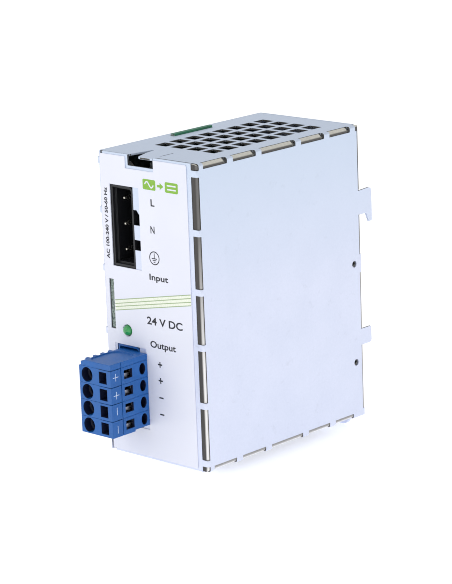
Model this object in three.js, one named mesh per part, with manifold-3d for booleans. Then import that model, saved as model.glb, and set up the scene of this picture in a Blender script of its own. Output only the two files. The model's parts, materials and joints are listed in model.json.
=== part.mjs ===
// A DIN rail power supply: a folded sheet-metal case that hooks onto a 35 mm rail, with a mains
// header, a pull-off output plug, the switching converter on its board, and a sprung rail latch.
// Units are millimetres. X runs to the right seen from the front, Y to the back, Z up.
// Everything is laid out from the case's front left bottom corner, and the finished group is
// moved so that its origin is the middle of the underside of the whole object.

import * as THREE from 'three';
import { mergeVertices } from 'three/addons/utils/BufferGeometryUtils.js';
import Module from 'manifold-3d';

const wasm = await Module();
wasm.setup();

// ---------------------------------------------------------------- driving dimensions

// Case
const WIDTH = 39.3;
const DEPTH = 69.7;
const HEIGHT = 89.2;
const SHEET = 0.6;
const GAP = 0.3;
const EDGE_RADIUS = 0.7;
const PAST = 1; // how far a cutter runs past the face that it cuts

// Perforated bends: how much of each face the windows take
const FRONT_BEND = { face: 2.3, side: 0.93 };
const TOP_BEND = { face: 1.4, side: 1.66 };
const BOTTOM_BEND = { face: 1.4, side: 1.58 };
const BACK_BEND = { face: 1.96, side: 1.06 };

// Bridges left between the windows of each bend
const FRONT_BRIDGES = {
  from: -PAST, to: HEIGHT + PAST, width: 1.9, at: [2.6, 19.6, 36.6, 52.6, 69.6, 86.4],
};
const LEFT_BRIDGES = { from: 3.6, to: HEIGHT + PAST, width: 1.9, at: [19.6, 36.1, 54.8, 71.9, 86.4] };
const TOP_BRIDGES = { from: 2.6, to: DEPTH + PAST, width: 2.4, at: [13.6, 25.6, 42.6, 55.2, 66.8] };
const BOTTOM_BRIDGES = { from: 2.6, to: 64.2, width: 2.6, at: [13.3, 25.8, 42.2, 54.5] };
const BACK_BRIDGES = { from: 2.4, to: HEIGHT + PAST, width: 5.5, at: [47.4] };

// Rail: hooks and lugs of both side walls
const RAIL_HEIGHT = 35;
const LUG_TOP = 27.2;
const LUG_HEIGHT = 5;
const LUG_BACK = 73.4;
const HOOK_BACK = 74.8;
const HOOK_TOP = 69.7;
const HOOK_SLOT = 2.4;
const HOOK_TIP_DROP = 2.8;
const HOOK_ROOT = DEPTH - 2;
const SIDE_HOLES = [[66.2, 47.6], [66.1, 17.3]];
const SIDE_HOLE_RADIUS = 1;

// Vents in the top and bottom
const VENT = {
  width: 4.75, depth: 4.55, columns: 4, rows: 8, pitchX: 6.25, pitchY: 6.02, x: 11.3, y: 16.8,
};

// Tongue in the top, behind a notch in the front
const NOTCH = { left: 12.4, right: 22.6, bottom: 86.1 };
const TONGUE = {
  left: 14.3, right: 22.1, tipLeft: 16, root: 8.8, tip: 0.3, bend: 4.6, drop: 0.3, radius: 1.1,
  slit: 0.4,
};

// Screws of the left cover, at (y, z), and the tabs that take them
const COVER_SCREWS = [[54, HEIGHT - 5.2], [48, 5.2]];
const COVER_SCREW = { shank: 1.2, head: 2.1, sink: 0.5, length: 1.9, flush: 0.05, room: 0.06 };
const COVER_TAB = { width: 9, reach: 3.5 };

// Front openings
const INPUT_HEADER = { left: 5.05, right: 13.75, bottom: 56.2, top: 79.85 };
const OUTPUT_HEADER = { left: 5.05, right: 13.75, bottom: 9, top: 32.85 };
const HEADER_FRONT = 0.15;
const HEADER_BACK = 11.5;
const HEADER_RIM = 0.65;
const HEADER_RIM_DEPTH = 1.1;
const HEADER_WALL = 1.15;
const HEADER_FLOOR = 9.5;
const HEADER_CORNERS = { body: 1.4, rim: 1, cavity: 0.7 };
const OPENING_ROOM = 0.15;
const STRIP_RIGHT = 16.4; // the bare strip beside each header ends here
const NOTCH_LEFT = 13; // the latching notches of the plugs start behind each header
const LATCH_NOTCHES = [[61.7, 64.7], [14, 18.5], [23, 27.5]];
const KEYED_NOTCH = [
  [NOTCH_LEFT, 69], [STRIP_RIGHT, 69], [STRIP_RIGHT, 71.9], [15.6, 72.8], [15.1, 73.4],
  [NOTCH_LEFT, 73.4],
];
const PIN_X = 9.45;
const PIN = 1;
const PIN_TIP = 0.9;
const PIN_LEG_Y = 13.2;
const PIN_TAPER = 1;
const PIN_ROOM = 0.1;
const INPUT_PITCH = 7.5;
const INPUT_PIN_NAMES = ['input_pin_pe', 'input_pin_n', 'input_pin_l'];
const INPUT_PIN_Z = 61.2;
const OUTPUT_PITCH = 5;
const OUTPUT_POLES = 4;
const OUTPUT_PIN_Z = 12.5;

// Label
const LABEL = { left: 1.4, right: 35.4, bottom: 0.7, top: 88.6, thickness: 0.2, lift: 0.02, radius: 0.5 };
const LABEL_MARGIN = 0.9; // how far the label stays clear of the notch

// Lamp
const LAMP = { x: 9.45, z: 37.4, radius: 1.55, proud: 1.4, back: 5, collar: 1.85, collarSpan: [1.2, 2] };
const LAMP_HOLDER = { reach: 2.4, y: [2.4, 7.4], bore: 5.4 };

// Circuit board and what stands it off the left wall
const BOARD = { left: 3.05, right: 4.6, front: 1.6, back: 65.8, bottom: 2.4, top: 87.4 };
const BOARD_FRONT_TAB = { from: 37.5, to: 51.7, y: 0.2 };
const BOARD_TOP_TAB = { from: 27.5, to: 43.7, z: HEIGHT + 0.6 };
const STANDOFFS = [[8, 83.2], [61, 55], [10, 6]];
const STANDOFF = { shank: 1.4, collar: 2.6, head: 2, hole: 1.7, barb: 1.6, tip: 1, gap: 0.05 };
const INSULATION = { x: [2.1, 2.4], margin: 0.6 };

// Parts on the board. They stand towards +X from STAND; y and z are spans or centres over the board.
const STAND = BOARD.right + 0.1;
const FUSE = {
  y: [15.5, 32.5], z: 82, axis: 3.6, radius: 2.2, capRadius: 2.6, cap: 4, foot: 1, footHalf: 0.6,
};
const THERMISTOR = { x: 13, y: [45, 49], z: 60.5, radius: 5, leadSpread: 2.5, lead: 0.4 };
const MAINS_CAPACITOR = { x: [STAND, 19], y: [17, 34], z: [66, 75] };
const BRIDGE = {
  x: [8, 19], y: [52.5, 56.5], z: [67, 83], leads: [69, 73, 77, 81], lead: 0.4, leadY: [54, 55],
};
const BULK_CAPACITOR = { centre: [23, 50.5], radius: 8.5, length: 28 };
const OUTPUT_CAPACITORS = [
  { centre: [38, 10], radius: 5, length: 20 }, { centre: [49.5, 14], radius: 5, length: 20 },
];
const CAN = { neck: 3, crimp: 0.7, waist: 0.92, rim: 0.94, base: 0.97 };
const CORE = {
  x: [5.2, 29], y: [34, 56], z: [34, 48], windowX: [9, 25.2], windowsY: [[38, 41.5], [48.5, 52]],
};
const BOBBIN = {
  x: [9.3, 24.9], y: [40.4, 49.6], z: [32.9, 49.1], wall: 0.8, flangeY: [38.3, 51.7],
  flangeZ: [29, 53],
};
const WINDING = { x: [10.2, 24], y: [38.6, 51.4], z: [29.8, 52.2], radius: 2, bore: 0.1 };
const CHOKE_CORE = { x: [6, 21], y: [38, 50], z: [68, 76], windowX: [9.5, 17.5], windowY: [41.5, 46.5] };
const CHOKE_COIL = {
  x: [10, 17], y: [36.2, 43.6], z: [66.2, 77.8], radius: 1.6, boreY: [37.8, 41.7],
  boreZ: [67.8, 76.2],
};
const OUTPUT_CHOKE = { centre: [24, 10.5], radius: 6.5, waist: 6, flange: 1.5, height: 10 };
const DEVICE = {
  x: [12, 21], half: 5, body: 4.4, tab: 1.3, tabTop: 27.5, holeX: 24.3, hole: 1.8, pitch: 2.54,
  lead: 0.4,
};
const DEVICE_Y = 57.2;
const SWITCH_Z = 71;
const RECTIFIER_Z = 20;
const HEAT_SINK = { y: 64.6, top: 28, fold: 4, sheet: 1.5, spans: [[58, 84], [8, 34]] };
const CHIP = { y: [22, 32], z: [32.5, 38.5], legs: 4 };
const OPTOCOUPLER = { y: [24, 29], z: [24, 29.5], legs: 2 };
const DUAL_IN_LINE = { lift: 0.6, height: 4, legHeight: 1.2, legHalf: 0.25, legOut: 0.7, legIn: 0.3 };

// Inner frame
const FRAME = {
  sheet: 0.5, clearance: 0.1, radius: 1.6, lip: 33.4, proud: 0.15, bend: 1.2, backBend: 0.6, room: 0.06,
  segments: 3,
};
const TOP_WINDOW_GAP = 1.2; // each raised bend ends this far ahead of the back end of its top window

// Output plug
const PLUG = {
  left: 4.5, right: 17.2, front: -15.45, back: -0.3, bottom: 10, pole: 5, slit: 0.04, flank: 5.3,
};
const PLUG_STEP = { y: -6.4, z: 0.4, x: 0.2 };
const PLUG_RIB = { right: 6.3, back: -1.3, grooves: [-12.6, -9.4, -6.2, -3.4], half: 0.35, depth: 0.5 };
const PLUG_GROOVE = { y: [-11.4, -11.1], depth: 0.25 };
const PLUG_SEAM = { left: 12.4, depth: 0.14, height: 0.12 };
const PLUG_INSERT = { left: 6.6, right: 12.3, back: 7.6, inset: 0.35 };
const PLUG_CHAMBER = { left: 5.8, right: 16.2, front: -11.4, back: -1, floor: 0.9 };
const PLUG_TOP = 31.7;
const PLUG_LEDGE = { right: 6.5, drop: 0.45, teeth: [-13.6, -10.6, -7.6, -4.6], tooth: 1.1 };
const PLUG_RECESS = { left: 6.8, right: 15.9, front: -14.5, back: -2.6, radius: 3.2, depth: 0.35 };
const PLATE_INSERT = [30.05, 31.4];
const WIRE_ENTRY = { x: 7.65, mouth: 2.2, throat: 1.75, funnel: 2.6, sides: 28 };
const TOOL_HOLE = { left: 12.5, right: 15.5, height: 3.4 };
const SIDE_HOLE = { front: -10, back: -6.7, bottom: -1.1, top: 1.5 };
const TEST_HOLE = { y: -2.4, z: 0.2, width: 2.4, height: 3.4 };
const CONTACT_BORE = { left: 8.2, right: 10.7, height: 2.2 };
const CLAMP = { left: 8.1, right: 15.8, front: -10.6, back: -2.6, sheet: 0.35, width: 3.2, radius: 2 };
const CLAMP_SLOT = { right: 12.4, half: 1 };
const CLAMP_WINDOW = { front: -10.1, back: -6.3, bottom: 0.1, top: 1.3 };
const CONTACT = { sheet: 0.3, height: 1.4, front: -9.4, tip: 6.6, crossing: -0.9 };

// Rail latch
const LATCH = { left: 6.85, right: 32.45, bottom: -4.55, sheet: 1.2, front: 69.95, top: 29.6 };
const LATCH_JOG = { from: 22.8, to: 24.2, step: 1 };
const LATCH_NOSE = { left: 10, right: 29.3, from: 22 };
const LATCH_CORNER = 2.6;
const LATCH_LEAD = { run: 1.8, edge: 0.2 };
const TOOL_SLOT = { half: 4, z: [-3.3, -1.3], radius: 0.9 };
const SPRING = { radius: 1.05, wire: 0.22, turns: 8, bottom: 8, top: 19.8, y: 70.2, gap: 0.05, steps: 8 };
const SPRING_WINDOW = { left: 17.9, right: 21.4 };
const KEEPER = {
  bottom: 8.5, top: 19, clearance: 0.25, inner: 71.6, foot: 2.5, sheet: 0.8, seat: DEPTH + 0.02,
};
const RIVET = { shank: 0.9, head: 1.3, rise: 0.7, tail: 67.7, tailRadius: 1.2, gap: 0.05, room: 0.1 };
const RIVET_X = [KEEPER.foot / 2 + 3.2, WIDTH - KEEPER.foot / 2 - 3.2];
const RIVET_Z = (KEEPER.bottom + KEEPER.top) / 2;

// ---------------------------------------------------------------- materials

const finish = (color, roughness, metalness) => new THREE.MeshStandardMaterial({ color, roughness, metalness });
const galvanised = finish(0xd3dbe4, 0.38, 0.9);
const frameSteel = finish(0xbdb9ad, 0.35, 0.9);
const printedFilm = finish(0xe9edf6, 0.45, 0);
const blackPlastic = finish(0x17181b, 0.5, 0);
const bluePlastic = finish(0x2f6fc0, 0.45, 0);
const tinnedBrass = finish(0xc9c6b8, 0.3, 1);
const springSteel = finish(0xb8bcc2, 0.3, 1);
const greenLens = finish(0x2fae5a, 0.15, 0);
const boardLaminate = finish(0x1f7a55, 0.45, 0);
const insulatingFilm = finish(0xded8c4, 0.6, 0);
const ferrite = finish(0x2c2b2d, 0.7, 0.1);
const copper = finish(0xb5652f, 0.35, 0.9);
const whiteNylon = finish(0xe6e3da, 0.5, 0);
const aluminium = finish(0xc3c6ca, 0.4, 1);
const aluminiumCan = finish(0x23324f, 0.35, 0.3);
const yellowFilmCapacitor = finish(0xd9b23c, 0.5, 0);
const ceramicBody = finish(0x8a5a3a, 0.6, 0);
const glassTube = finish(0xe8e4d8, 0.2, 0);

// ---------------------------------------------------------------- solids

const MERGE_DISTANCE = 1e-4;
const GRID = 1e4; // vertices sit on a grid of a ten-thousandth, so faces that should meet do
const FINE = 20;
const COARSE = 12;

function solid(geometry) {
  geometry.deleteAttribute('normal');
  geometry.deleteAttribute('uv');
  const merged = mergeVertices(geometry, MERGE_DISTANCE);
  const corners = merged.index.array;
  const triangles = [];
  for (let i = 0; i < corners.length; i += 3) {
    const [a, b, c] = corners.slice(i, i + 3);
    if (a !== b && b !== c && c !== a) triangles.push(a, b, c);
  }
  return new wasm.Manifold(new wasm.Mesh({
    numProp: 3,
    vertProperties: merged.getAttribute('position').array.map((value) => Math.round(value * GRID) / GRID),
    triVerts: new Uint32Array(triangles),
  }));
}

function block([x0, x1], [y0, y1], [z0, z1]) {
  const geometry = new THREE.BoxGeometry(x1 - x0, y1 - y0, z1 - z0);
  geometry.translate((x0 + x1) / 2, (y0 + y1) / 2, (z0 + z1) / 2);
  return solid(geometry);
}

// Turns a geometry made along +Z so that its length runs along another axis. The two other
// coordinates stay in X, Y, Z order: Y and Z for a length along X, X and Z for one along Y.
function alongAxis(geometry, axis, from, to) {
  if (axis === 'x') {
    const turn = new THREE.Matrix4().makeBasis(
      new THREE.Vector3(0, 1, 0),
      new THREE.Vector3(0, 0, 1),
      new THREE.Vector3(1, 0, 0),
    );
    geometry.applyMatrix4(turn);
    geometry.translate(from, 0, 0);
  } else if (axis === 'y') {
    geometry.rotateX(Math.PI / 2);
    geometry.translate(0, to, 0);
  } else {
    geometry.translate(0, 0, from);
  }
  return geometry;
}

function prism(axis, shape, [from, to], curveSegments = 2) {
  const options = { depth: to - from, bevelEnabled: false, curveSegments };
  return solid(alongAxis(new THREE.ExtrudeGeometry(shape, options), axis, from, to));
}

function circle([a, b], radius) {
  const shape = new THREE.Shape();
  shape.absarc(a, b, radius, 0, Math.PI * 2, false);
  return shape;
}

function rod(axis, centre, radius, span, sides = FINE) {
  return prism(axis, circle(centre, radius), span, sides / 2);
}

function outline(points) {
  return new THREE.Shape(points.map(([a, b]) => new THREE.Vector2(a, b)));
}

function roundedRectangle([a0, a1], [b0, b1], radius) {
  const shape = new THREE.Shape();
  const quarter = Math.PI / 2;
  shape.absarc(a1 - radius, b1 - radius, radius, 0, quarter, false);
  shape.absarc(a0 + radius, b1 - radius, radius, quarter, 2 * quarter, false);
  shape.absarc(a0 + radius, b0 + radius, radius, 2 * quarter, 3 * quarter, false);
  shape.absarc(a1 - radius, b0 + radius, radius, 3 * quarter, 4 * quarter, false);
  return shape;
}

// A turned piece on an axis along Y; the profile is [radius, y] from its front to its back.
function turned(profile, [x, z], sides = FINE) {
  const points = profile.map(([radius, y]) => new THREE.Vector2(radius, y));
  const geometry = new THREE.LatheGeometry(points, sides);
  geometry.translate(x, 0, z);
  return solid(geometry);
}

// The same on an axis along X, which is how tall parts stand on the board.
function turnedOnBoard(profile, [y, z], sides = FINE) {
  const points = profile.map(([radius, x]) => new THREE.Vector2(radius, x));
  const geometry = new THREE.LatheGeometry(points, sides);
  geometry.rotateZ(-Math.PI / 2);
  geometry.translate(0, y, z);
  return solid(geometry);
}

const joined = (pieces) => pieces.reduce((whole, piece) => whole.add(piece));
const without = (piece, cutters) => cutters.reduce((left, cutter) => left.subtract(cutter), piece);

const supply = new THREE.Group();

function add(name, piece, material, z = 0) {
  const { vertProperties, triVerts } = piece.getMesh();
  const geometry = new THREE.BufferGeometry();
  geometry.setAttribute('position', new THREE.BufferAttribute(vertProperties, 3));
  geometry.setIndex(new THREE.BufferAttribute(triVerts, 1));
  geometry.computeVertexNormals();
  const mesh = new THREE.Mesh(geometry, material.clone());
  mesh.name = name;
  mesh.position.z = z;
  supply.add(mesh);
}

// ---------------------------------------------------------------- case

// A block as large as the case less an inset, with its long edges rounded.
function roundedBlock(inset, radius, segments = 2) {
  const [x, y, z] = [WIDTH, DEPTH, HEIGHT].map((size) => [inset, size - inset]);
  const upright = prism('z', roundedRectangle(x, y, radius), z, segments);
  const level = prism('y', roundedRectangle(x, z, radius), y, segments);
  return upright.intersect(level);
}

const envelope = () => roundedBlock(0, EDGE_RADIUS);

// The windows of a bend are what its bridges leave between them.
function windows({ from, to, width, at }) {
  const starts = [from, ...at.map((centre) => centre + width / 2)];
  const ends = [...at.map((centre) => centre - width / 2), to];
  return starts.map((start, i) => [start, ends[i]]);
}

// The windows of the four bends, each drawn in by some room; those of the top can end short of
// their back ends.
function bendWindows(room = 0, short = 0) {
  const past = WIDTH + PAST;
  const inside = ([start, end], less = 0) => [start + room, end - room - less];
  const front = windows(FRONT_BRIDGES).map((z) =>
    block([WIDTH - FRONT_BEND.face + room, past], [-PAST, FRONT_BEND.side - room], inside(z)));
  const back = windows(BACK_BRIDGES).map((z) =>
    block([WIDTH - BACK_BEND.face + room, past], [DEPTH - BACK_BEND.side + room, DEPTH + PAST], inside(z)));
  const top = windows(TOP_BRIDGES).map((y) =>
    block(
      [WIDTH - TOP_BEND.face + room, past],
      inside(y, short),
      [HEIGHT - TOP_BEND.side + room, HEIGHT + PAST],
    ));
  const bottom = windows(BOTTOM_BRIDGES).map((y) =>
    block([WIDTH - BOTTOM_BEND.face + room, past], inside(y), [-PAST, BOTTOM_BEND.side - room]));
  return [...front, ...back, ...top, ...bottom];
}

// The right wall and its four flanges. The top and bottom ones stop short of the front and back
// ones at open seams.
function trayWalls() {
  const low = [0, SHEET];
  const far = SHEET + GAP;
  const across = [far, WIDTH];
  const between = [far, DEPTH - far];
  return joined([
    block([WIDTH - SHEET, WIDTH], [0, DEPTH], [0, HEIGHT]),
    block([FRONT_BEND.face, WIDTH], low, [0, HEIGHT]),
    block(across, [DEPTH - SHEET, DEPTH], [0, HEIGHT]),
    block(across, between, [HEIGHT - SHEET, HEIGHT]),
    block(across, between, low),
  ]);
}

function vents(z) {
  const cutters = [];
  for (let column = 0; column < VENT.columns; column += 1) {
    for (let row = 0; row < VENT.rows; row += 1) {
      const x = VENT.x + column * VENT.pitchX - VENT.width / 2;
      const y = VENT.y + row * VENT.pitchY - VENT.depth / 2;
      cutters.push(block([x, x + VENT.width], [y, y + VENT.depth], z));
    }
  }
  return joined(cutters);
}

// Hook and lug of one side wall, in the plane of that wall.
function railHooks(x) {
  const slotTop = LUG_TOP + RAIL_HEIGHT;
  const slotBack = DEPTH + HOOK_SLOT;
  const tip = slotTop - HOOK_TIP_DROP;
  const lean = 1.2; // the slot's back edge leans away, to guide the rail in
  const small = 0.4;
  const round = 1.3;
  const hook = new THREE.Shape();
  hook.moveTo(HOOK_ROOT, slotTop);
  hook.lineTo(slotBack, slotTop);
  hook.lineTo(slotBack + lean, tip + 0.1);
  hook.quadraticCurveTo(slotBack + lean + 0.1, tip, slotBack + lean + 0.3, tip);
  hook.lineTo(HOOK_BACK - small, tip);
  hook.quadraticCurveTo(HOOK_BACK, tip, HOOK_BACK, tip + small);
  hook.lineTo(HOOK_BACK, HOOK_TOP - round);
  hook.quadraticCurveTo(HOOK_BACK, HOOK_TOP, HOOK_BACK - round, HOOK_TOP);
  hook.lineTo(HOOK_ROOT, HOOK_TOP - 0.3);
  const lug = new THREE.Shape();
  const lugBottom = LUG_TOP - LUG_HEIGHT;
  lug.moveTo(HOOK_ROOT, lugBottom);
  lug.lineTo(LUG_BACK - 2 * small, lugBottom);
  lug.quadraticCurveTo(LUG_BACK, lugBottom, LUG_BACK, lugBottom + 2 * small);
  lug.lineTo(LUG_BACK, LUG_TOP - small);
  lug.quadraticCurveTo(LUG_BACK, LUG_TOP, LUG_BACK - small, LUG_TOP);
  lug.lineTo(HOOK_ROOT, LUG_TOP);
  return prism('x', hook, x).add(prism('x', lug, x));
}

// Small holes near the back edge of each side wall.
function sideHoles(x) {
  return SIDE_HOLES.map((centre) => rod('x', centre, SIDE_HOLE_RADIUS, x, COARSE));
}

// The tongue is cut out of the top, and its tip is bent down a little.
function tongue() {
  const { left, right, tipLeft, root, tip, bend, drop, radius } = TONGUE;
  const plan = new THREE.Shape();
  plan.moveTo(left, root + PAST);
  plan.lineTo(tipLeft, tip + radius);
  plan.quadraticCurveTo(tipLeft, tip, tipLeft + radius, tip);
  plan.lineTo(right - radius, tip);
  plan.quadraticCurveTo(right, tip, right, tip + radius);
  plan.lineTo(right, root + PAST);
  const profile = outline([
    [root + PAST, HEIGHT],
    [bend, HEIGHT],
    [tip, HEIGHT - drop],
    [tip, HEIGHT - drop - SHEET],
    [bend, HEIGHT - SHEET],
    [root + PAST, HEIGHT - SHEET],
  ]);
  const sheet = prism('x', profile, [left - PAST, right + PAST]);
  return sheet.intersect(prism('z', plan, [HEIGHT - drop - 2 * SHEET, HEIGHT + PAST]));
}

function tongueOpening() {
  const behind = SHEET + PAST;
  const plan = outline([
    [NOTCH.left, -PAST],
    [NOTCH.right, -PAST],
    [NOTCH.right, behind],
    [TONGUE.right + TONGUE.slit, TONGUE.root],
    [TONGUE.left - TONGUE.slit, TONGUE.root],
    [NOTCH.left, behind],
  ]);
  return [
    prism('z', plan, [HEIGHT - SHEET - PAST, HEIGHT + PAST]),
    block([NOTCH.left, NOTCH.right], [-PAST, behind], [NOTCH.bottom, HEIGHT + PAST]),
  ];
}

// Openings of the front wall, cut with a little room round what stands in them.
function frontOpenings(y) {
  const room = OPENING_ROOM;
  const around = ({ left, right, bottom, top }) =>
    block([left - room, right + room], y, [bottom - room, top + room]);
  return [
    around(INPUT_HEADER),
    around(OUTPUT_HEADER),
    prism('y', outline(KEYED_NOTCH), y),
    ...LATCH_NOTCHES.map((z) => block([NOTCH_LEFT, STRIP_RIGHT], y, z)),
    block([BOARD.left - room, BOARD.right + room], y, [BOARD_FRONT_TAB.from - GAP, BOARD_FRONT_TAB.to + GAP]),
    rod('y', [LAMP.x, LAMP.z], LAMP.radius + room, y),
  ];
}

// Tabs behind the left wall take the two screws of the cover.
function coverTabs() {
  const x = [SHEET + GAP, 2 * SHEET + GAP];
  const [upper, lower] = COVER_SCREWS;
  const span = (y) => [y - COVER_TAB.width / 2, y + COVER_TAB.width / 2];
  const tabs = block(x, span(upper[0]), [upper[1] - COVER_TAB.reach, HEIGHT - SHEET / 2])
    .add(block(x, span(lower[0]), [SHEET / 2, lower[1] + COVER_TAB.reach]));
  const through = [x[0] - PAST, x[1] + PAST];
  const holes = COVER_SCREWS.map((centre) =>
    rod('x', centre, COVER_SCREW.shank + COVER_SCREW.room, through, COARSE));
  return without(tabs, holes);
}

function latchWindow() {
  return block(
    [SPRING_WINDOW.left, SPRING_WINDOW.right],
    [DEPTH - SHEET - PAST, DEPTH + PAST],
    [SPRING.bottom, SPRING.top + 1],
  );
}

function caseTray() {
  const throughTop = [HEIGHT - SHEET - PAST, HEIGHT + PAST];
  const throughBack = [DEPTH - SHEET - PAST, DEPTH + PAST];
  const boardSlot = block(
    [BOARD.left - OPENING_ROOM, BOARD.right + OPENING_ROOM],
    [BOARD_TOP_TAB.from - GAP, BOARD_TOP_TAB.to + GAP],
    throughTop,
  );
  const rivetHoles = RIVET_X.map((x) =>
    rod('y', [x, RIVET_Z], RIVET.shank + RIVET.room, throughBack, COARSE));
  const open = without(trayWalls().intersect(envelope()), [
    ...bendWindows(),
    ...tongueOpening(),
    ...frontOpenings([-PAST, SHEET + PAST]),
    vents(throughTop),
    vents([-PAST, SHEET + PAST]),
    boardSlot,
    latchWindow(),
    ...rivetHoles,
  ]);
  const wall = [WIDTH - SHEET, WIDTH];
  const tray = joined([open, tongue(), railHooks(wall), coverTabs()]);
  return without(tray, sideHoles([WIDTH - SHEET - PAST, WIDTH + PAST]));
}

function leftCover() {
  const wall = [0, SHEET];
  const plate = block(wall, [0, DEPTH], [0, HEIGHT]);
  const edge = windows(LEFT_BRIDGES).map((z) => block([-PAST, SHEET + PAST], [-PAST, FRONT_BEND.side], z));
  const half = LEFT_BRIDGES.width / 2;
  const folds = LEFT_BRIDGES.at.map((centre) =>
    block([0, FRONT_BEND.face - GAP], [0, SHEET], [centre - half, centre + half]));
  const folded = joined([plate, ...folds]).intersect(envelope());
  const holes = [
    ...sideHoles([-PAST, SHEET + PAST]),
    ...STANDOFFS.map((centre) => rod('x', centre, STANDOFF.hole, [-PAST, SHEET + PAST], COARSE)),
    ...COVER_SCREWS.map(countersink),
  ];
  return without(without(folded, edge).add(railHooks(wall)), holes);
}

// A second sheet lines the right wall and turns onto its four neighbours. Its bends are pressed
// out through the windows of the outer sheet, almost flush with it.
function innerFrame() {
  const { sheet, clearance, radius, lip, proud, bend, backBend, room, segments } = FRAME;
  const outer = SHEET + clearance;
  const shell = (inset, thickness, round) =>
    roundedBlock(inset, round, segments).subtract(roundedBlock(inset + thickness, round - sheet, segments));
  const keep = block([lip, WIDTH], [0, DEPTH], [0, HEIGHT]);
  const raisedShell = (round, y) =>
    shell(proud, outer - proud + sheet / 2, round).intersect(block([lip, WIDTH], y, [0, HEIGHT]));
  const both = raisedShell(bend, [0, HOOK_ROOT]).add(raisedShell(backBend, [HOOK_ROOT, DEPTH]));
  const raised = without(both, [
    [LUG_TOP - LUG_HEIGHT, LUG_TOP],
    [LUG_TOP + RAIL_HEIGHT, HOOK_TOP],
  ].map(([from, to]) =>
    block([WIDTH - SHEET - room, WIDTH], [HOOK_ROOT - room, DEPTH], [from - room, to + room])));
  const frame = shell(outer, sheet, radius).add(raised.intersect(joined(bendWindows(room, TOP_WINDOW_GAP))));
  const rivetRoom = RIVET_X.map((x) =>
    rod('y', [x, RIVET_Z], RIVET.tailRadius + GAP, [DEPTH - outer - 2 * sheet, DEPTH], COARSE));
  const holes = sideHoles([WIDTH - outer - 2 * sheet, WIDTH]);
  return without(frame.intersect(keep), [...rivetRoom, ...holes]);
}

function frontLabel() {
  const { left, right, bottom, top, thickness, lift, radius } = LABEL;
  const y = [-lift - thickness, -lift];
  const through = [-thickness - PAST, PAST];
  const room = OPENING_ROOM;
  const sheet = prism('y', roundedRectangle([left, right], [bottom, top], radius), y);
  return without(sheet, [
    block([NOTCH.left - LABEL_MARGIN, NOTCH.right], through, [NOTCH.bottom - LABEL_MARGIN, HEIGHT]),
    block(
      [INPUT_HEADER.left - room, STRIP_RIGHT],
      through,
      [INPUT_HEADER.bottom - room, INPUT_HEADER.top + room],
    ),
    block(
      [PLUG.left - 2 * room, STRIP_RIGHT + 2 * room],
      through,
      [OUTPUT_HEADER.bottom - room, OUTPUT_HEADER.top + room],
    ),
    block(
      [BOARD.left - room, BOARD.right + room],
      through,
      [BOARD_FRONT_TAB.from - GAP, BOARD_FRONT_TAB.to + GAP],
    ),
    rod('y', [LAMP.x, LAMP.z], LAMP.radius + 2 * room, through),
  ]);
}

// ---------------------------------------------------------------- connectors

// A header's mouth has one rounded corner, which keys the plug.
function headerOutline({ left, right, bottom, top }, inset, radius) {
  const shape = new THREE.Shape();
  shape.moveTo(left + inset, bottom + inset);
  shape.lineTo(right - inset, bottom + inset);
  shape.lineTo(right - inset, top - inset - radius);
  shape.absarc(right - inset - radius, top - inset - radius, radius, 0, Math.PI / 2, false);
  shape.lineTo(left + inset, top - inset);
  return shape;
}

function header(size, pinHeights) {
  const y = [HEADER_FRONT, HEADER_BACK];
  const body = prism('y', headerOutline(size, 0, HEADER_CORNERS.body), y);
  const rim = headerOutline(size, HEADER_RIM, HEADER_CORNERS.rim);
  const mouth = prism('y', rim, [-PAST, HEADER_FRONT + HEADER_RIM_DEPTH]);
  const cavity = prism('y', headerOutline(size, HEADER_WALL, HEADER_CORNERS.cavity), [-PAST, HEADER_FLOOR]);
  const bore = PIN / 2 + PIN_ROOM;
  const bores = pinHeights.map((z) =>
    block([PIN_X - bore, PIN_X + bore], [HEADER_FLOOR - PAST, HEADER_BACK + PAST], [z - bore, z + bore]));
  return without(body, [mouth, cavity, ...bores]);
}

// A square pin with a tapered tip, which turns into the board behind its header.
function headerPin() {
  const half = PIN / 2;
  const tail = BOARD.left - 0.6;
  const plan = outline([
    [PIN_X - half, PIN_TIP + 1],
    [PIN_X - half / 2, PIN_TIP],
    [PIN_X + half / 2, PIN_TIP],
    [PIN_X + half, PIN_TIP + 1],
    [PIN_X + half, PIN_LEG_Y + half],
    [tail, PIN_LEG_Y + half],
    [tail, PIN_LEG_Y - half],
    [PIN_X - half, PIN_LEG_Y - half],
  ]);
  const side = outline([
    [PIN_TIP, -half / 2],
    [PIN_TIP + PIN_TAPER, -half],
    [PIN_LEG_Y + PAST, -half],
    [PIN_LEG_Y + PAST, half],
    [PIN_TIP + PIN_TAPER, half],
    [PIN_TIP, half / 2],
  ]);
  return prism('z', plan, [-half, half]).intersect(prism('x', side, [0, PIN_X + PAST]));
}

const row = (count, first, pitch) => Array.from({ length: count }, (_, i) => first + i * pitch);
const inputPins = row(INPUT_PIN_NAMES.length, INPUT_PIN_Z, INPUT_PITCH);
const outputPins = row(OUTPUT_POLES, OUTPUT_PIN_Z, OUTPUT_PITCH);

// ---------------------------------------------------------------- board

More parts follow.
